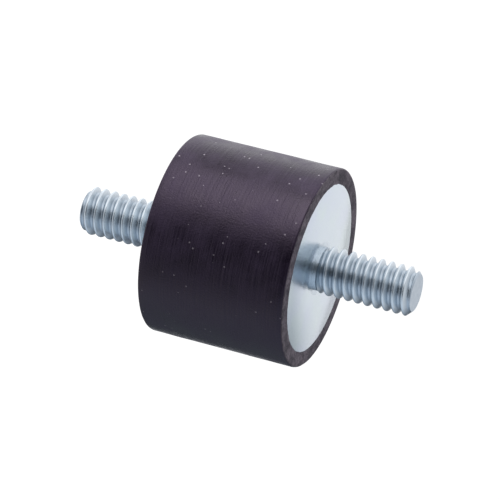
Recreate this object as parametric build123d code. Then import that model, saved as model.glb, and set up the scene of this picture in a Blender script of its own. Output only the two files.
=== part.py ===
from build123d import *
import math
import os

# Bobbin vibration mount: a rubber cylinder bonded between two steel plates,
# with a threaded stud standing out of each plate. All sizes in millimetres.
# The stud axis is Z. The origin is on that axis, in the lower seating face.

# Rubber body
rubber_diameter = 25.4
rubber_height = 19.05
rubber_corner_chamfer = 0.25

# End plates, set flush into the ends of the rubber
plate_diameter = 21.6
plate_thickness = 1.6
plate_edge_chamfer = 0.2

# Studs, 1/4 inch - 20 UNC, each pressed through its plate from the rubber side
stud_diameter = 6.35
stud_length = 12.7
tip_flat_diameter = 4.6
tip_chamfer_angle = 45.0

# The shank that sits in the plate, and the flat round head behind it
shank_diameter = 6.8
shank_press_clearance = 0.0
head_diameter = 10.0
head_thickness = 1.5
head_edge_chamfer = 0.3

# The rubber is moulded against the steel, so the bond has no gap
bond_gap = 0.0

# Derived places
lower_face_z = 0.0
upper_face_z = lower_face_z + rubber_height
middle_z = (lower_face_z + upper_face_z) / 2
plate_back_z = upper_face_z - plate_thickness
head_back_z = plate_back_z - head_thickness
tip_z = upper_face_z + stud_length


def revolved(points):
    """Turn a closed outline, given as radius and height, about the stud axis."""
    outline = Polyline(*points, close=True)
    return revolve(make_face(Plane.XZ * outline), axis=Axis.Z)


def turned_over(piece):
    """Copy a piece of the upper end to the lower end by half a turn about X."""
    centred = piece.moved(Location((0, 0, -middle_z)))
    turned = centred.rotate(Axis.X, 180)
    return turned.moved(Location((0, 0, middle_z)))


def upper_plate_piece():
    """Round washer plate, its outer edge broken, with the hole that grips the stud."""
    outer = plate_diameter / 2
    hole = shank_diameter / 2 + shank_press_clearance
    return revolved([
        (hole, plate_back_z),
        (outer, plate_back_z),
        (outer, upper_face_z - plate_edge_chamfer),
        (outer - plate_edge_chamfer, upper_face_z),
        (hole, upper_face_z),
    ])


def upper_stud_piece():
    """Stud at its thread's outside diameter: flat head, plate shank and chamfered tip."""
    head = head_diameter / 2
    shank = shank_diameter / 2
    outside = stud_diameter / 2
    tip = tip_flat_diameter / 2
    tip_drop = (outside - tip) / math.tan(math.radians(tip_chamfer_angle))
    return revolved([
        (0, head_back_z),
        (head - head_edge_chamfer, head_back_z),
        (head, head_back_z + head_edge_chamfer),
        (head, plate_back_z),
        (shank, plate_back_z),
        (shank, upper_face_z),
        (outside, upper_face_z),
        (outside, tip_z - tip_drop),
        (tip, tip_z),
        (0, tip_z),
    ])


def upper_hollow():
    """The hollow in the rubber that the upper plate and the stud's head fill."""
    plate = plate_diameter / 2 + bond_gap
    head = head_diameter / 2 + bond_gap
    seat_z = plate_back_z - bond_gap
    floor_z = head_back_z - bond_gap
    return revolved([
        (0, floor_z),
        (head - head_edge_chamfer, floor_z),
        (head, floor_z + head_edge_chamfer),
        (head, seat_z),
        (plate, seat_z),
        (plate, upper_face_z),
        (0, upper_face_z),
    ])


def rubber_body_piece():
    """Rubber cylinder with broken corners, moulded round both plates and both heads."""
    outer = rubber_diameter / 2
    body = revolved([
        (0, lower_face_z),
        (outer - rubber_corner_chamfer, lower_face_z),
        (outer, lower_face_z + rubber_corner_chamfer),
        (outer, upper_face_z - rubber_corner_chamfer),
        (outer - rubber_corner_chamfer, upper_face_z),
        (0, upper_face_z),
    ])
    hollow = upper_hollow()
    return body - hollow - turned_over(hollow)


def build():
    """Make every piece and write one STEP file for each."""
    upper_plate = upper_plate_piece()
    upper_stud = upper_stud_piece()
    pieces = {
        "rubber_body": rubber_body_piece(),
        "upper_plate": upper_plate,
        "lower_plate": turned_over(upper_plate),
        "upper_stud": upper_stud,
        "lower_stud": turned_over(upper_stud),
    }
    os.makedirs("parts", exist_ok=True)
    for name, piece in pieces.items():
        export_step(piece, f"parts/{name}.step")


build()
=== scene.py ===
import math

import bmesh
import bpy
from bpy.props import FloatProperty, FloatVectorProperty, IntProperty, PointerProperty
from mathutils import Matrix, Vector, noise


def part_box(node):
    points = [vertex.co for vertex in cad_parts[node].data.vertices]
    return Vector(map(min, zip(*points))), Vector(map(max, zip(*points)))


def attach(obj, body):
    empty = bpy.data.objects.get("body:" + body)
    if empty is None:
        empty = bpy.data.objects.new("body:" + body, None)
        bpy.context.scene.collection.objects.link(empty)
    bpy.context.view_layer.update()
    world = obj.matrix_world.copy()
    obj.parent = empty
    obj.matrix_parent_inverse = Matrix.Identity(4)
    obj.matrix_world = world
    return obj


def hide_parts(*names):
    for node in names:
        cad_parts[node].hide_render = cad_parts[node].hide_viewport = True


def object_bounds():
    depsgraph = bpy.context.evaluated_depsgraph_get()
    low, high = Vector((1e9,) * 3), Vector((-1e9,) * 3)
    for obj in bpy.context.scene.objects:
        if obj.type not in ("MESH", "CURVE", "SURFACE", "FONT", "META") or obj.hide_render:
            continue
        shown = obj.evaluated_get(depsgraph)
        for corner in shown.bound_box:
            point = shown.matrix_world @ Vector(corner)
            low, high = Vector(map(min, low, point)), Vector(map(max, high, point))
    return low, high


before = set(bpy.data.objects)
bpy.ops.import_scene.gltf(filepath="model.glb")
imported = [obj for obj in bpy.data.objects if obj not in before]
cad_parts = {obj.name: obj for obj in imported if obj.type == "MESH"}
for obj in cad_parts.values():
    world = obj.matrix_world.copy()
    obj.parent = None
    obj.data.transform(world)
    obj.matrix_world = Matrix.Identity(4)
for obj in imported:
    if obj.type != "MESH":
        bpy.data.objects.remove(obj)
CAD_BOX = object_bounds()

bl_info = {
    "name": "Bobbin vibration mount",
    "version": (1, 0, 0),
    "blender": (4, 5, 0),
    "location": "View3D > Sidebar > Mount",
    "description": "Rubber cylinder between two zinc-plated plates with threaded studs",
    "category": "Object",
}

MM = 0.001
BODY = "root"

# How near a level cut a corner has to lie to be taken as on it.
SNAP = 0.0001 * MM

# How much of a face's normal has to point along the stud axis for the face to be level.
LEVEL = 0.9

# Sizes that the construction fixes, read from it.
RUBBER_LOW, RUBBER_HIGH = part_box("rubber_body")
PLATE_LOW, PLATE_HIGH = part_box("upper_plate")
STUD_LOW, STUD_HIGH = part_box("upper_stud")
RUBBER_RADIUS = RUBBER_HIGH.x
PLATE_RADIUS = PLATE_HIGH.x
HEAD_RADIUS = STUD_HIGH.x
LOWER_FACE = RUBBER_LOW.z
UPPER_FACE = RUBBER_HIGH.z
MIDDLE = (LOWER_FACE + UPPER_FACE) / 2
PLATE_BACK = PLATE_LOW.z
HEAD_BACK = STUD_LOW.z
TIP = STUD_HIGH.z

# Half a turn about X through mid-height takes the upper end to the lower end.
TO_MIDDLE = Matrix.Translation((0, 0, MIDDLE))
TURN_OVER = TO_MIDDLE @ Matrix.Rotation(math.pi, 4, "X") @ TO_MIDDLE.inverted()


# Colours

def linear(code):
    """Turn an sRGB hex code into linear red, green, blue and alpha."""
    channels = [int(code[i:i + 2], 16) / 255 for i in (1, 3, 5)]
    return [c / 12.92 if c <= 0.04045 else ((c + 0.055) / 1.055) ** 2.4 for c in channels] + [1]


WHITE = linear("#ffffff")


# Settings

class RubberSettings(bpy.types.PropertyGroup):
    corner: FloatProperty(
        name="Corner", description="How far the ground corner is broken",
        default=0.25 * MM, unit="LENGTH", subtype="DISTANCE")
    unevenness: FloatProperty(
        name="Unevenness", description="Depth of the hollows left by grinding",
        default=0.05 * MM, unit="LENGTH", subtype="DISTANCE")
    flash: FloatProperty(
        name="Flash", description="How far thin rubber creeps over the plate's broken edge",
        default=0.2 * MM, unit="LENGTH", subtype="DISTANCE")
    dark: FloatVectorProperty(
        name="Dark rubber", description="Freshly ground black rubber", size=4,
        default=linear("#170d1e"), subtype="COLOR")
    bloomed: FloatVectorProperty(
        name="Bloomed rubber", description="Where wax has come to the surface", size=4,
        default=linear("#30263a"), subtype="COLOR")


class PlateSettings(bpy.types.PropertyGroup):
    hole: FloatProperty(
        name="Hole radius", description="Radius of the hole that grips the stud's shank",
        default=3.4 * MM, unit="LENGTH", subtype="DISTANCE")
    edge: FloatProperty(
        name="Edge", description="Broken edge round the outside of the plate",
        default=0.2 * MM, unit="LENGTH", subtype="DISTANCE")
    violet: FloatVectorProperty(
        name="Violet zinc", description="Clear zinc plate where its film looks violet", size=4,
        default=linear("#d3dae4"), subtype="COLOR")
    green: FloatVectorProperty(
        name="Green zinc", description="Clear zinc plate where its film looks green", size=4,
        default=linear("#d4dee0"), subtype="COLOR")


class StudSettings(bpy.types.PropertyGroup):
    pitch: FloatProperty(
        name="Pitch", description="Distance from one thread crest to the next",
        default=1.27 * MM, unit="LENGTH", subtype="DISTANCE")
    crest: FloatProperty(
        name="Crest radius", description="Radius over the rolled thread's crests",
        default=3.07 * MM, unit="LENGTH", subtype="DISTANCE")
    root: FloatProperty(
        name="Root radius", description="Radius at the bottom of the thread",
        default=2.40 * MM, unit="LENGTH", subtype="DISTANCE")
    blank: FloatProperty(
        name="Blank radius", description="Radius of the plain steel before the thread is rolled",
        default=2.76 * MM, unit="LENGTH", subtype="DISTANCE")
    collar: FloatProperty(
        name="Plain length", description="Length left unthreaded at the plate",
        default=0.45 * MM, unit="LENGTH", subtype="DISTANCE")
    rounding: FloatProperty(
        name="Rounding", description="How far the crests and roots are rounded",
        default=0.1 * MM, unit="LENGTH", subtype="DISTANCE")
    tip: FloatProperty(
        name="Tip radius", description="Radius of the flat on the end of the stud",
        default=2.35 * MM, unit="LENGTH", subtype="DISTANCE")
    start: FloatProperty(
        name="Thread start", description="Angle at which the thread begins",
        default=math.radians(95), unit="ROTATION", subtype="ANGLE")
    steps: IntProperty(
        name="Steps", description="Steps in one turn of the thread", default=96, min=24)
    # The zinc in the roots is the crests' zinc painted darker, as painted shade in the thread's
    # hollows.
    painted_shade_root_zinc: FloatVectorProperty(
        name="Zinc in the roots", description="Thin, dull zinc plate", size=4,
        default=linear("#b2bdc7"), subtype="COLOR")
    crest_zinc: FloatVectorProperty(
        name="Zinc on the crests", description="Full, bright zinc plate", size=4,
        default=linear("#d8e0e6"), subtype="COLOR")


class StageSettings(bpy.types.PropertyGroup):
    elevation: FloatProperty(
        name="Elevation", description="Angle of the camera above the part's middle plane",
        default=math.radians(17.97), unit="ROTATION", subtype="ANGLE")
    roll: FloatProperty(
        name="Roll", description="Turn of the camera about its own line of sight",
        default=math.radians(104.33), unit="ROTATION", subtype="ANGLE")
    distance: FloatProperty(
        name="Distance", description="From the camera to the middle of the part",
        default=380 * MM, unit="LENGTH", subtype="DISTANCE")
    field: FloatProperty(
        name="Field", description="Width of the view at the part's middle",
        default=62.27 * MM, unit="LENGTH", subtype="DISTANCE")
    aim_right: FloatProperty(
        name="Aim right", description="How far right of the part's middle the camera points",
        default=0.12 * MM, unit="LENGTH", subtype="DISTANCE")
    aim_up: FloatProperty(
        name="Aim up", description="How far above the part's middle the camera points",
        default=0.034 * MM, unit="LENGTH", subtype="DISTANCE")
    floor_drop: FloatProperty(
        name="Floor drop", description="From the lower stud's end down to the floor",
        default=250 * MM, unit="LENGTH", subtype="DISTANCE")


# Modelling helpers

def clear_selection():
    """Leave nothing selected and nothing in edit mode."""
    if bpy.context.object and bpy.context.object.mode != "OBJECT":
        bpy.ops.object.mode_set(mode="OBJECT")
    bpy.ops.object.select_all(action="DESELECT")


def new_cylinder(name, radius, low, high, sides):
    """Add a closed cylinder on the stud axis between two heights and start editing it."""
    clear_selection()
    bpy.ops.mesh.primitive_cylinder_add(
        vertices=sides, radius=radius, depth=high - low,
        end_fill_type="NGON", location=(0, 0, (low + high) / 2))
    piece = bpy.context.object
    piece.name = name
    piece.data.name = name
    bpy.ops.object.transform_apply(location=True, rotation=True, scale=True)
    bpy.ops.object.mode_set(mode="EDIT")
    return piece


def pick(piece, kind, test):
    """Select the faces or edges of the edited piece that pass a test."""
    bpy.ops.mesh.select_mode(type=kind)
    bpy.ops.mesh.select_all(action="DESELECT")
    mesh = bmesh.from_edit_mesh(piece.data)
    parts = mesh.faces if kind == "FACE" else mesh.edges
    for part in parts:
        if test(part):
            part.select_set(True)
    bmesh.update_edit_mesh(piece.data)


def rim_edges(radius, height):
    """A test for the edges of a ring of one radius at one height."""
    near = 0.004 * MM

    def test(edge):
        return all(
            abs(v.co.xy.length - radius) < near and abs(v.co.z - height) < near
            for v in edge.verts)
    return test


def ring_cuts(heights):
    """Cut the whole edited piece level at each height."""
    for height in heights:
        bpy.ops.mesh.select_all(action="SELECT")
        bpy.ops.mesh.bisect(plane_co=(0, 0, height), plane_no=(0, 0, 1), threshold=SNAP)


def apply_modifier(piece, kind, **settings):
    """Add a modifier with its settings and apply it."""
    clear_selection()
    piece.select_set(True)
    bpy.context.view_layer.objects.active = piece
    modifier = piece.modifiers.new(kind.lower(), kind)
    for name, value in settings.items():
        setattr(modifier, name, value)
    bpy.ops.object.modifier_apply(modifier=modifier.name)


def shade(piece, angle):
    """Shade smooth, but keep the edges that are sharper than the angle."""
    clear_selection()
    piece.select_set(True)
    bpy.context.view_layer.objects.active = piece
    bpy.ops.object.shade_smooth_by_angle(angle=angle)


def finish_piece(piece, node):
    """Place a finished piece on the part instead of its plain solid."""
    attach(piece, BODY)
    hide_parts(node)


def turned_copy(piece, name):
    """A copy with its own mesh, turned over to the other end."""
    copy = piece.copy()
    copy.data = piece.data.copy()
    copy.name = name
    copy.data.name = name
    copy.data.transform(TURN_OVER)
    bpy.context.scene.collection.objects.link(copy)
    return copy


# Materials

def new_material(name):
    """An empty node material and its surface shader."""
    material = bpy.data.materials.new(name)
    material.use_nodes = True
    tree = material.node_tree
    tree.nodes.clear()
    output = tree.nodes.new("ShaderNodeOutputMaterial")
    shader = tree.nodes.new("ShaderNodeBsdfPrincipled")
    tree.links.new(shader.outputs["BSDF"], output.inputs["Surface"])
    return material, tree, shader


def add_node(tree, kind, inputs=None, **settings):
    """Add a node with its settings, and set or link its inputs."""
    node = tree.nodes.new(kind)
    for name, value in settings.items():
        setattr(node, name, value)
    for name, value in (inputs or {}).items():
        if isinstance(value, bpy.types.NodeSocket):
            tree.links.new(value, node.inputs[name])
        else:
            node.inputs[name].default_value = value
    return node


def ramp(tree, value, start, end, low, high):
    """A smooth change from low to high as the value goes from start to end."""
    node = add_node(tree, "ShaderNodeMapRange", {
        "Value": value, "From Min": start, "From Max": end, "To Min": low, "To Max": high},
        interpolation_type="SMOOTHSTEP")
    return node.outputs["Result"]


def math_of(tree, operation, *values):
    """The result of one arithmetic step on the values."""
    node = add_node(tree, "ShaderNodeMath", dict(enumerate(values)), operation=operation)
    return node.outputs["Value"]


def per(length):
    """Repeats in a metre of a pattern that repeats after a length."""
    return 1 / length


def rubber_side_material(settings):
    """Black natural rubber, ground round: a semi-matt skin that looks soft grey where
    light grazes it, with fine grinding lines round the body and pale dust in the pores."""
    material, tree, shader = new_material("ground black rubber")
    place = add_node(tree, "ShaderNodeTexCoord").outputs["Object"]
    # Grinding lines lie about 0.3 mm apart and run some 8 mm round the body.
    line_place = add_node(tree, "ShaderNodeMapping", {
        "Vector": place, "Scale": (per(8 * MM), per(8 * MM), per(0.3 * MM))})
    lines = add_node(tree, "ShaderNodeTexNoise", {
        "Vector": line_place.outputs["Vector"], "Scale": 1.0, "Detail": 3.0}).outputs["Fac"]
    # Cloudy patches a few millimetres wide, from wax that blooms to the surface.
    bloom = add_node(tree, "ShaderNodeTexNoise", {
        "Vector": place, "Scale": per(4 * MM), "Detail": 5.0, "Roughness": 0.6}).outputs["Fac"]
    # Cells of 0.9 mm with a pore about 0.2 mm wide in the middle, and a grain of 0.22 mm.
    pores = add_node(tree, "ShaderNodeTexVoronoi", {
        "Vector": place, "Scale": per(0.9 * MM)})
    grain = add_node(tree, "ShaderNodeTexNoise", {
        "Vector": place, "Scale": per(0.22 * MM), "Detail": 2.0}).outputs["Fac"]
    shade_mix = add_node(tree, "ShaderNodeMapRange", {
        "Value": bloom, "From Min": 0.35, "From Max": 0.68})
    colour = add_node(tree, "ShaderNodeMix", {
        "Factor": shade_mix.outputs["Result"],
        "A": settings.dark, "B": settings.bloomed}, data_type="RGBA")
    lined = add_node(tree, "ShaderNodeMix", {
        "Factor": lines, "A": linear("#8c8c8c"), "B": WHITE}, data_type="RGBA")
    body = add_node(tree, "ShaderNodeMix", {
        "Factor": 0.6, "A": colour.outputs["Result"], "B": lined.outputs["Result"]},
        data_type="RGBA", blend_type="MULTIPLY")
    dust_near = add_node(tree, "ShaderNodeMapRange", {
        "Value": pores.outputs["Distance"],
        "From Min": 0.15, "From Max": 0.09, "To Min": 0.0, "To Max": 1.0})
    # Only some of the pores hold dust.
    dust_some = math_of(tree, "GREATER_THAN", pores.outputs["Color"], 0.64)
    dust = math_of(tree, "MULTIPLY", dust_near.outputs["Result"], dust_some)
    dusty = add_node(tree, "ShaderNodeMix", {
        "Factor": dust, "A": body.outputs["Result"],
        "B": linear("#8d8690")}, data_type="RGBA")
    tree.links.new(dusty.outputs["Result"], shader.inputs["Base Color"])
    rough = add_node(tree, "ShaderNodeMapRange", {
        "Value": bloom, "From Min": 0.35, "From Max": 0.65, "To Min": 0.24, "To Max": 0.44})
    tree.links.new(rough.outputs["Result"], shader.inputs["Roughness"])
    shader.inputs["Specular Tint"].default_value = linear("#e4d0ea")
    heights = math_of(tree, "ADD", lines, math_of(tree, "MULTIPLY", grain, 0.5))
    bump = add_node(tree, "ShaderNodeBump", {
        "Height": heights, "Strength": 1.0, "Distance": 0.05 * MM})
    tree.links.new(bump.outputs["Normal"], shader.inputs["Normal"])
    return material


def rubber_end_material():
    """The same rubber where the mould shut off on the end: coarse, crumbly and greyer."""
    material, tree, shader = new_material("moulded rubber end")
    place = add_node(tree, "ShaderNodeTexCoord").outputs["Object"]
    # Crumbs about 0.35 mm wide on patches of about 1.5 mm.
    crumbs = add_node(tree, "ShaderNodeTexNoise", {
        "Vector": place, "Scale": per(0.35 * MM), "Detail": 4.0, "Roughness": 0.7}).outputs["Fac"]
    patches = add_node(tree, "ShaderNodeTexNoise", {
        "Vector": place, "Scale": per(1.5 * MM), "Detail": 3.0}).outputs["Fac"]
    spread = add_node(tree, "ShaderNodeMapRange", {
        "Value": math_of(tree, "MULTIPLY", crumbs, patches), "From Min": 0.15, "From Max": 0.36})
    colour = add_node(tree, "ShaderNodeMix", {
        "Factor": spread.outputs["Result"],
        "A": linear("#2c2630"), "B": linear("#776e78")}, data_type="RGBA")
    tree.links.new(colour.outputs["Result"], shader.inputs["Base Color"])
    shader.inputs["Roughness"].default_value = 0.75
    bump = add_node(tree, "ShaderNodeBump", {
        "Height": crumbs, "Strength": 0.8, "Distance": 0.08 * MM})
    tree.links.new(bump.outputs["Normal"], shader.inputs["Normal"])
    return material


def plate_material(settings):
    """Cold-rolled steel with clear zinc plate: a satin, pale blue-grey metal with a
    slight violet and green cast, tiny pits and a blurred mirror image."""
    material, tree, shader = new_material("satin zinc plate")
    place = add_node(tree, "ShaderNodeTexCoord").outputs["Object"]
    # The passivate's colour drifts over some 5 mm.
    drift = add_node(tree, "ShaderNodeTexNoise", {
        "Vector": place, "Scale": per(5 * MM), "Detail": 2.0}).outputs["Fac"]
    tint = add_node(tree, "ShaderNodeMapRange", {
        "Value": drift, "From Min": 0.35, "From Max": 0.65})
    colour = add_node(tree, "ShaderNodeMix", {
        "Factor": tint.outputs["Result"],
        "A": settings.violet, "B": settings.green}, data_type="RGBA")
    # Cells of 1.4 mm, and a pit about 0.15 mm wide where the face cuts a cell's middle.
    pits = add_node(tree, "ShaderNodeTexVoronoi", {"Vector": place, "Scale": per(1.4 * MM)})
    pit = add_node(tree, "ShaderNodeMapRange", {
        "Value": pits.outputs["Distance"],
        "From Min": 0.07, "From Max": 0.03, "To Min": 0.0, "To Max": 0.35})
    pitted = add_node(tree, "ShaderNodeMix", {
        "Factor": pit.outputs["Result"], "A": colour.outputs["Result"],
        "B": linear("#7d848c")}, data_type="RGBA")
    tree.links.new(pitted.outputs["Result"], shader.inputs["Base Color"])
    shader.inputs["Metallic"].default_value = 1.0
    # Plating grain about 0.3 mm wide.
    grain = add_node(tree, "ShaderNodeTexNoise", {
        "Vector": place, "Scale": per(0.3 * MM), "Detail": 3.0}).outputs["Fac"]
    rough = add_node(tree, "ShaderNodeMapRange", {
        "Value": grain, "From Min": 0.3, "From Max": 0.7, "To Min": 0.20, "To Max": 0.26})
    tree.links.new(rough.outputs["Result"], shader.inputs["Roughness"])
    bump = add_node(tree, "ShaderNodeBump", {
        "Height": grain, "Strength": 0.12, "Distance": 0.006 * MM})
    tree.links.new(bump.outputs["Normal"], shader.inputs["Normal"])
    return material


def stud_material(settings):
    """Rolled steel thread with clear zinc plate: soft, light crests, and roots painted
    a little darker, which is painted shade in the thread's hollows."""
    material, tree, shader = new_material("bright zinc thread")
    place = add_node(tree, "ShaderNodeTexCoord").outputs["Object"]
    split = add_node(tree, "ShaderNodeSeparateXYZ", {"Vector": place})
    flat = add_node(tree, "ShaderNodeCombineXYZ", {
        "X": split.outputs["X"], "Y": split.outputs["Y"]})
    radius = add_node(tree, "ShaderNodeVectorMath", {0: flat.outputs["Vector"]},
                      operation="LENGTH")
    crest_depth = 0.15 * MM
    height = add_node(tree, "ShaderNodeMapRange", {
        "Value": radius.outputs["Value"],
        "From Min": settings.root, "From Max": settings.crest - crest_depth})
    # Plating varies over patches of about 0.6 mm.
    patches = add_node(tree, "ShaderNodeTexNoise", {
        "Vector": place, "Scale": per(0.6 * MM), "Detail": 3.0}).outputs["Fac"]
    # Darker towards the roots: painted shade in the thread's hollows.
    colour = add_node(tree, "ShaderNodeMix", {
        "Factor": height.outputs["Result"],
        "A": settings.painted_shade_root_zinc, "B": settings.crest_zinc}, data_type="RGBA")
    tree.links.new(colour.outputs["Result"], shader.inputs["Base Color"])
    shader.inputs["Metallic"].default_value = 1.0
    rough = add_node(tree, "ShaderNodeMapRange", {
        "Value": patches, "From Min": 0.3, "From Max": 0.7, "To Min": 0.28, "To Max": 0.38})
    tree.links.new(rough.outputs["Result"], shader.inputs["Roughness"])
    bump = add_node(tree, "ShaderNodeBump", {
        "Height": patches, "Strength": 0.3, "Distance": 0.015 * MM})
    tree.links.new(bump.outputs["Normal"], shader.inputs["Normal"])
    return material


# Pieces

def make_rubber(settings):
    """The moulded cylinder: both ends hollowed for plate and head, corners broken."""
    rubber = new_cylinder("moulded_rubber", RUBBER_RADIUS, LOWER_FACE, UPPER_FACE, sides=360)
    # Narrow rings on the ends keep the creep of the flash to the plate's edge.
    rings = 8
    pick(rubber, "FACE", lambda face: abs(face.normal.z) > LEVEL)
    for _ in range(rings):
        bpy.ops.mesh.inset(thickness=(RUBBER_RADIUS - PLATE_RADIUS) / rings)
    bpy.ops.mesh.extrude_region_shrink_fatten(
        TRANSFORM_OT_shrink_fatten={"value": PLATE_BACK - UPPER_FACE})
    bpy.ops.mesh.inset(thickness=PLATE_RADIUS - HEAD_RADIUS)
    bpy.ops.mesh.extrude_region_shrink_fatten(
        TRANSFORM_OT_shrink_fatten={"value": HEAD_BACK - PLATE_BACK})
    low_rim = rim_edges(RUBBER_RADIUS, LOWER_FACE)
    high_rim = rim_edges(RUBBER_RADIUS, UPPER_FACE)
    pick(rubber, "EDGE", lambda edge: low_rim(edge) or high_rim(edge))
    bpy.ops.mesh.bevel(offset=settings.corner, segments=3, affect="EDGES")
    margin = MM
    spacing = 0.35 * MM
    count = int((UPPER_FACE - LOWER_FACE - 2 * margin) / spacing)
    ring_cuts([LOWER_FACE + margin + spacing * k for k in range(count + 1)])
    bpy.ops.object.mode_set(mode="OBJECT")
    uneven_rubber(rubber, settings)
    shade(rubber, math.radians(35))
    rubber.data.materials.append(rubber_side_material(settings))
    rubber.data.materials.append(rubber_end_material())
    for face in rubber.data.polygons:
        if abs(face.normal.z) > LEVEL:
            face.material_index = 1
    finish_piece(rubber, "rubber_body")


def uneven_rubber(rubber, settings):
    """Sink shallow grinding hollows into the outside and let flash creep inwards."""
    hollow_size = 2.5 * MM
    flash_size = 0.7 * MM
    near = 0.01 * MM
    for vertex in rubber.data.vertices:
        place = vertex.co.copy()
        radius = place.xy.length
        if radius > RUBBER_RADIUS - settings.corner - near:
            sink = (0.5 + 0.5 * noise.noise(place / hollow_size)) * settings.unevenness
            vertex.co.xy *= (radius - sink) / radius
        on_end = min(place.z - LOWER_FACE, UPPER_FACE - place.z) < near
        if on_end and abs(radius - PLATE_RADIUS) < near:
            creep = (0.5 + 0.5 * noise.noise(place / flash_size)) * settings.flash
            vertex.co.xy *= (radius - creep) / radius


def make_plates(settings):
    """Two stamped washers with their outer edges broken."""
    upper = new_cylinder("upper_zinc_plate", PLATE_RADIUS, PLATE_BACK, UPPER_FACE, sides=256)
    pick(upper, "FACE", lambda face: abs(face.normal.z) > LEVEL)
    bpy.ops.mesh.inset(thickness=PLATE_RADIUS - settings.hole)
    bpy.ops.mesh.delete(type="ONLY_FACE")
    inner = [rim_edges(settings.hole, height) for height in (PLATE_BACK, UPPER_FACE)]
    pick(upper, "EDGE", lambda edge: any(test(edge) for test in inner))
    bpy.ops.mesh.bridge_edge_loops()
    pick(upper, "EDGE", rim_edges(PLATE_RADIUS, UPPER_FACE))
    bpy.ops.mesh.bevel(offset=settings.edge, segments=2, affect="EDGES")
    bpy.ops.mesh.select_all(action="SELECT")
    bpy.ops.mesh.normals_make_consistent(inside=False)
    bpy.ops.object.mode_set(mode="OBJECT")
    shade(upper, math.radians(35))
    upper.data.materials.append(plate_material(settings))
    lower = turned_copy(upper, "lower_zinc_plate")
    finish_piece(upper, "upper_plate")
    finish_piece(lower, "lower_plate")


def thread_outline(settings, start):
    """One pitch of the thread's outline as a line of edges: root, flank, crest, flank, root."""
    clear_selection()
    pitch = settings.pitch
    bpy.ops.mesh.primitive_plane_add(
        size=pitch, location=(settings.root + pitch / 2, 0, start + pitch / 2),
        rotation=(math.pi / 2, 0, 0))
    outline = bpy.context.object
    bpy.ops.object.transform_apply(location=True, rotation=True, scale=True)
    bpy.ops.object.mode_set(mode="EDIT")
    pick(outline, "EDGE", lambda edge: all(v.co.x > settings.root + pitch / 2 for v in edge.verts))
    bpy.ops.mesh.delete(type="VERT")
    bpy.ops.mesh.select_all(action="SELECT")
    bpy.ops.mesh.subdivide(number_cuts=4)
    mesh = bmesh.from_edit_mesh(outline.data)
    corners = sorted(mesh.verts, key=lambda v: v.co.z)
    shares = (0, 1 / 8, 5 / 12, 7 / 12, 7 / 8, 1)
    radii = (settings.root, settings.root, settings.crest, settings.crest,
             settings.root, settings.root)
    for corner, share, radius in zip(corners, shares, radii):
        corner.co.x = radius
        corner.co.z = start + pitch * share
        corner.select_set(0 < share < 1)
    mesh.select_flush_mode()
    bmesh.update_edit_mesh(outline.data)
    bpy.ops.mesh.bevel(offset=settings.rounding, segments=3, affect="VERTICES")
    bpy.ops.object.mode_set(mode="OBJECT")
    return outline


def make_thread(settings):
    """A closed right-hand thread that runs past both ends of the threaded length."""
    start = UPPER_FACE - 2 * settings.pitch
    turns = math.ceil((TIP - start) / settings.pitch) + 1
    thread = thread_outline(settings, start)
    thread.name = "upper_threaded_stud"
    apply_modifier(
        thread, "SCREW", axis="Z", angle=2 * math.pi, screw_offset=settings.pitch,
        iterations=turns, steps=settings.steps, render_steps=settings.steps,
        use_normal_calculate=True)
    thread.data.transform(Matrix.Rotation(settings.start, 4, "Z"))
    bpy.ops.object.mode_set(mode="EDIT")
    bpy.ops.mesh.select_all(action="SELECT")
    bpy.ops.mesh.remove_doubles(threshold=0.01 * MM)
    # Close both open ends with a fan of faces; the cut that follows takes them off.
    bpy.ops.mesh.select_mode(type="EDGE")
    bpy.ops.mesh.select_all(action="DESELECT")
    bpy.ops.mesh.select_non_manifold()
    bpy.ops.mesh.extrude_edges_move()
    bpy.ops.mesh.merge(type="COLLAPSE")
    bpy.ops.mesh.select_all(action="SELECT")
    bpy.ops.mesh.normals_make_consistent(inside=False)
    bpy.ops.object.mode_set(mode="OBJECT")
    return thread


def cut_with(piece, tool, operation):
    """Cut or join a piece with a tool solid, and take the tool away."""
    apply_modifier(piece, "BOOLEAN", object=tool, operation=operation, solver="EXACT")
    bpy.data.objects.remove(tool)


def make_blank(settings):
    """The stud before threading: flat head, shank in the plate and plain collar."""
    shank = bpy.context.scene.mount_plate.hole
    blank = new_cylinder("stud_blank", HEAD_RADIUS, HEAD_BACK, PLATE_BACK, sides=96)
    pick(blank, "FACE", lambda face: face.normal.z > LEVEL)
    bpy.ops.mesh.inset(thickness=HEAD_RADIUS - shank)
    bpy.ops.mesh.extrude_region_move(
        TRANSFORM_OT_translate={"value": (0, 0, UPPER_FACE - PLATE_BACK)})
    bpy.ops.mesh.inset(thickness=shank - settings.blank)
    bpy.ops.mesh.extrude_region_move(
        TRANSFORM_OT_translate={"value": (0, 0, settings.collar)})
    bpy.ops.object.mode_set(mode="OBJECT")
    return blank


def make_envelope(settings):
    """The space that the thread may fill: chamfered at its tip, fading at its foot."""
    clearance = 0.03 * MM
    outside = settings.crest + clearance
    foot = UPPER_FACE + settings.collar / 2
    envelope = new_cylinder("thread_limits", outside, foot, TIP, sides=128)
    pick(envelope, "EDGE", rim_edges(outside, TIP))
    bpy.ops.mesh.bevel(offset=outside - settings.tip, segments=1, affect="EDGES")
    pick(envelope, "EDGE", rim_edges(outside, foot))
    bpy.ops.mesh.bevel(offset=outside - settings.root, segments=1, affect="EDGES")
    bpy.ops.object.mode_set(mode="OBJECT")
    return envelope


def make_studs(settings):
    """Both studs: a rolled thread with a chamfered tip on a headed blank."""
    upper = make_thread(settings)
    cut_with(upper, make_envelope(settings), "INTERSECT")
    cut_with(upper, make_blank(settings), "UNION")
    shade(upper, math.radians(40))
    upper.data.materials.clear()
    upper.data.materials.append(stud_material(settings))
    lower = turned_copy(upper, "lower_threaded_stud")
    finish_piece(upper, "upper_stud")
    finish_piece(lower, "lower_stud")


# Stage

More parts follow.
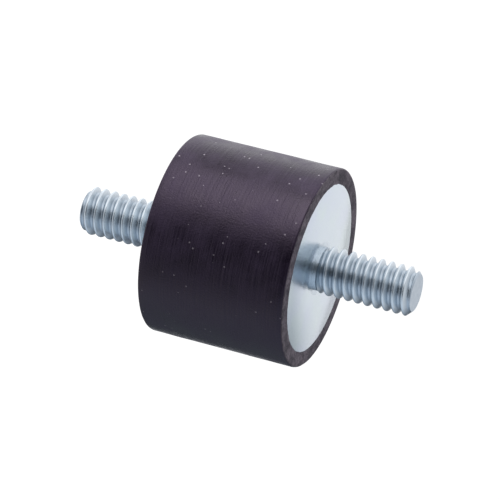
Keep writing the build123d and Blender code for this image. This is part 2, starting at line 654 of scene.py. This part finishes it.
def camera_axes(settings):
    """Unit vectors from the part to the camera, to its right and up."""
    tilt, roll = settings.elevation, settings.roll
    back = Vector((math.cos(tilt), 0, math.sin(tilt)))
    level = Vector((0, 1, 0))
    upright = back.cross(level)
    right = math.cos(roll) * level + math.sin(roll) * upright
    up = -math.sin(roll) * level + math.cos(roll) * upright
    return back, right, up


def make_camera(settings):
    """The camera, rolled so that the studs lie nearly level in its view."""
    back, right, up = camera_axes(settings)
    data = bpy.data.cameras.new("camera")
    data.sensor_width = 36
    data.lens = data.sensor_width * settings.distance / settings.field
    camera = bpy.data.objects.new("camera", data)
    aim = Vector((0, 0, MIDDLE)) + right * settings.aim_right + up * settings.aim_up
    place = aim + back * settings.distance
    turn = Matrix((right, up, back)).transposed().to_4x4()
    camera.matrix_world = Matrix.Translation(place) @ turn
    data.clip_start = 10 * MM
    data.clip_end = 20000 * MM
    bpy.context.scene.collection.objects.link(camera)
    bpy.context.scene.camera = camera


def make_lamp(name, direction, distance, size, power):
    """A square soft lamp that points at the middle of the part. The white studio, and not
    the lamp, is what shows in the metal."""
    data = bpy.data.lights.new(name, "AREA")
    data.shape = "SQUARE"
    data.size = size
    data.energy = power
    lamp = bpy.data.objects.new(name, data)
    direction = direction.normalized()
    lamp.location = Vector((0, 0, MIDDLE)) + direction * distance
    lamp.rotation_mode = "QUATERNION"
    lamp.rotation_quaternion = direction.to_track_quat("Z", "Y")
    lamp.visible_glossy = False
    bpy.context.scene.collection.objects.link(lamp)
    return lamp


def make_world(settings):
    """A white studio. Behind the camera it is dark, which draws a slate band on metal."""
    back, right, up = camera_axes(settings)
    world = bpy.data.worlds.new("studio")
    bpy.context.scene.world = world
    world.use_nodes = True
    tree = world.node_tree
    tree.nodes.clear()
    output = tree.nodes.new("ShaderNodeOutputWorld")
    look = add_node(tree, "ShaderNodeTexCoord").outputs["Generated"]
    over, behind, beside = (
        add_node(tree, "ShaderNodeVectorMath", {0: look, 1: way}, operation="DOT_PRODUCT")
        .outputs["Value"] for way in (up, -back, right))
    # A softbox above, brightest about halfway up.
    softbox = math_of(
        tree, "MULTIPLY", ramp(tree, over, 0.15, 0.60, 0.0, 1.35),
        ramp(tree, over, 0.82, 1.0, 1.0, 0.60))
    # A grey table below, which is in shade behind the part.
    table = math_of(
        tree, "MULTIPLY", ramp(tree, over, -0.30, -0.75, 0.0, 0.95),
        ramp(tree, behind, 0.0, 0.6, 1.0, 0.45))
    # White paper behind the part, down to just below it.
    backdrop = math_of(
        tree, "MULTIPLY", ramp(tree, behind, 0.15, 0.6, 0.0, 1.0),
        ramp(tree, over, -0.45, -0.15, 0.0, 1.0))
    # White walls to the left and right.
    walls = ramp(tree, math_of(tree, "ABSOLUTE", beside), 0.40, 0.85, 0.0, 0.8)
    paper = math_of(tree, "MAXIMUM", backdrop, walls)
    # The room behind the camera isn't quite black.
    room = 0.085
    level = math_of(tree, "MAXIMUM", math_of(tree, "MAXIMUM", softbox, table), paper)
    level = math_of(tree, "MAXIMUM", level, room)
    # What stands low is a little blue, and the paper and the softbox are white.
    whiter = math_of(tree, "MAXIMUM", paper, ramp(tree, over, 0.1, 0.5, 0.0, 1.0))
    seen = add_node(tree, "ShaderNodeMix", {
        "Factor": whiter, "A": linear("#dae8f8"), "B": linear("#fbfcff")},
        data_type="RGBA")
    path = add_node(tree, "ShaderNodeLightPath").outputs
    ambient = add_node(tree, "ShaderNodeBackground", {"Color": WHITE, "Strength": 0.12})
    glossy = add_node(tree, "ShaderNodeBackground", {
        "Color": seen.outputs["Result"], "Strength": level})
    white = add_node(tree, "ShaderNodeBackground", {"Color": WHITE, "Strength": 1.0})
    first = add_node(tree, "ShaderNodeMixShader", {
        "Fac": path["Is Glossy Ray"], 1: ambient.outputs["Background"],
        2: glossy.outputs["Background"]})
    last = add_node(tree, "ShaderNodeMixShader", {
        "Fac": path["Is Camera Ray"], 1: first.outputs["Shader"],
        2: white.outputs["Background"]})
    tree.links.new(last.outputs["Shader"], output.inputs["Surface"])


def make_floor(settings):
    """A wide white floor, far enough below the lower stud to catch only a faint shadow."""
    clear_selection()
    width = 8000 * MM
    bpy.ops.mesh.primitive_plane_add(
        size=width, location=(0, 0, CAD_BOX[0].z - settings.floor_drop))
    floor = bpy.context.object
    floor.name = "floor"
    bpy.ops.object.transform_apply(location=True, rotation=True, scale=True)
    material = bpy.data.materials.new("white paper floor")
    material.use_nodes = True
    tree = material.node_tree
    tree.nodes.clear()
    output = tree.nodes.new("ShaderNodeOutputMaterial")
    # The glow whitens the paper where the camera sees it, and adds no light to the part.
    seen = add_node(tree, "ShaderNodeLightPath").outputs["Is Camera Ray"]
    paper = add_node(tree, "ShaderNodeBsdfDiffuse", {"Color": linear("#e6e6e6")})
    glow = add_node(tree, "ShaderNodeEmission", {
        "Color": WHITE, "Strength": math_of(tree, "MULTIPLY", seen, 0.94)})
    both = add_node(tree, "ShaderNodeAddShader", {
        0: paper.outputs["BSDF"], 1: glow.outputs["Emission"]})
    tree.links.new(both.outputs["Shader"], output.inputs["Surface"])
    floor.data.materials.append(material)
    # In a reflection the world's grey table stands in for the floor.
    floor.visible_glossy = False


def make_stage(settings):
    """Camera, white studio, soft lamps and floor."""
    make_camera(settings)
    make_world(settings)
    make_floor(settings)
    back, right, up = camera_axes(settings)
    make_lamp("overhead softbox", up - 0.2 * back, distance=450 * MM, size=400 * MM, power=2.5)
    make_lamp("end fill", right - 0.1 * back, distance=600 * MM, size=400 * MM, power=1.5)
    # The sheen along the rubber comes from a lamp of its own, which the metal doesn't see.
    sheen = make_lamp(
        "rubber sheen", 0.5 * back + 0.87 * up, distance=450 * MM, size=360 * MM, power=1.0)
    sheen.visible_glossy = True
    lit = bpy.data.collections.new("lit by the sheen lamp")
    lit.objects.link(bpy.data.objects["moulded_rubber"])
    sheen.light_linking.receiver_collection = lit
    bpy.context.scene.view_settings.view_transform = "Standard"


# Operators

class MOUNT_OT_rubber(bpy.types.Operator):
    """Model the moulded rubber cylinder"""
    bl_idname = "mount.rubber"
    bl_label = "Rubber Body"

    def execute(self, context):
        make_rubber(context.scene.mount_rubber)
        return {"FINISHED"}


class MOUNT_OT_plates(bpy.types.Operator):
    """Model the two zinc-plated end plates"""
    bl_idname = "mount.plates"
    bl_label = "End Plates"

    def execute(self, context):
        make_plates(context.scene.mount_plate)
        return {"FINISHED"}


class MOUNT_OT_studs(bpy.types.Operator):
    """Model the two threaded studs"""
    bl_idname = "mount.studs"
    bl_label = "Threaded Studs"

    def execute(self, context):
        make_studs(context.scene.mount_stud)
        return {"FINISHED"}


class MOUNT_OT_stage(bpy.types.Operator):
    """Set up the camera, lamps, white studio and floor"""
    bl_idname = "mount.stage"
    bl_label = "Stage"

    def execute(self, context):
        make_stage(context.scene.mount_stage)
        return {"FINISHED"}


class MOUNT_PT_panel(bpy.types.Panel):
    """Pieces of the mount, in the order they are made"""
    bl_idname = "MOUNT_PT_panel"
    bl_label = "Bobbin Vibration Mount"
    bl_space_type = "VIEW_3D"
    bl_region_type = "UI"
    bl_category = "Mount"

    def draw(self, context):
        for operator in OPERATORS:
            self.layout.operator(operator.bl_idname)


OPERATORS = (MOUNT_OT_rubber, MOUNT_OT_plates, MOUNT_OT_studs, MOUNT_OT_stage)
SETTINGS = {
    "mount_rubber": RubberSettings,
    "mount_plate": PlateSettings,
    "mount_stud": StudSettings,
    "mount_stage": StageSettings,
}


def register():
    for kind in (*SETTINGS.values(), *OPERATORS, MOUNT_PT_panel):
        bpy.utils.register_class(kind)
    for name, kind in SETTINGS.items():
        setattr(bpy.types.Scene, name, PointerProperty(type=kind))


def unregister():
    for name in SETTINGS:
        delattr(bpy.types.Scene, name)
    for kind in reversed((*SETTINGS.values(), *OPERATORS, MOUNT_PT_panel)):
        bpy.utils.unregister_class(kind)


def main():
    register()
    bpy.ops.mount.rubber()
    bpy.ops.mount.plates()
    bpy.ops.mount.studs()
    bpy.ops.mount.stage()


if __name__ == "__main__":
    main()
